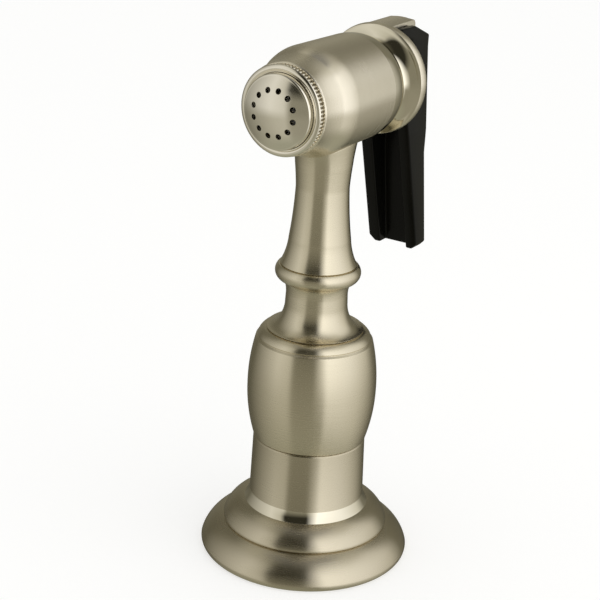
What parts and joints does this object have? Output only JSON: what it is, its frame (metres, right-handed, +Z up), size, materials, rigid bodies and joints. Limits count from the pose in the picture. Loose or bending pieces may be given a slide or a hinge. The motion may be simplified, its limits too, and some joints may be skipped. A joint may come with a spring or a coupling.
{
  "type": "kitchen side sprayer",
  "caption": "Hand spray for a kitchen sink with a squeeze lever behind its head, standing on a turned handle in a stepped deck holder.",
  "frame": {"origin": "on the holder's axis, in the plane of the deck on which the holder stands", "axes": "+Z up along the handle, water leaves the head towards -Y, the squeeze lever is on the +Y side, +X to the right of someone looking along +Y"},
  "size_m": [0.057, 0.0748, 0.1428],
  "materials": {
    "satin_nickel": "satin brushed nickel plate on brass, warm grey",
    "brass": "turned, bare",
    "stainless": "turned or drawn, bright",
    "black_plastic": "moulded, glossy black",
    "white_plastic": "moulded, natural white acetal",
    "rubber": "moulded, black"
  },
  "bodies": {
    "holder": {"deck_flange": "satin_nickel", "guide_bush": "white_plastic", "base_gasket": "rubber"},
    "hose_end": {"hose_connector": "brass", "swivel_seal": "rubber", "snap_ring": "stainless", "hose_washer": "rubber"},
    "wand": {"tail_sleeve": "white_plastic", "sleeve_seal": "rubber", "barrel": "satin_nickel", "bell": "satin_nickel", "bell_seal": "rubber", "neck": "satin_nickel", "neck_seal": "rubber", "head_body": "satin_nickel", "face_washer": "rubber", "diffuser": "white_plastic", "knurled_bezel": "satin_nickel", "spray_face": "satin_nickel", "valve_seat": "brass", "collar_seal": "rubber", "rear_collar": "satin_nickel", "stem_seal": "rubber", "packing_washer": "brass", "gland_nut": "brass", "hinge_pin": "stainless"},
    "plunger": {"valve_stem": "stainless", "seat_washer": "rubber", "poppet": "brass", "stem_nut": "brass", "return_spring": "stainless"},
    "trigger": {"trigger_lever": "black_plastic"}
  },
  "joints": [
    {"name": "lift_off", "type": "slide", "parent": "holder", "child": "hose_end", "axis": [0, 0, 1], "range_m": [0, 0.045]},
    {"name": "wand_swivel", "type": "hinge", "parent": "hose_end", "child": "wand", "pos_m": [0, 0, 0.032], "axis": [0, 0, 1], "continuous": true},
    {"name": "trigger_hinge", "type": "hinge", "parent": "wand", "child": "trigger", "pos_m": [0, 0.0313, 0.1366], "axis": [-1, 0, 0], "range_deg": [0, 11], "stiffness_Nm_per_rad": 0.15, "springref_deg": -22.92},
    {"name": "plunger_slide", "type": "slide", "parent": "wand", "child": "plunger", "axis": [0, -1, 0], "range_m": [0, 0.0017], "deforming": ["return_spring"]}
  ],
  "couplings": [
    {"joint": "plunger_slide", "follows": "trigger_hinge", "m_per_rad": 0.0086}
  ]
}
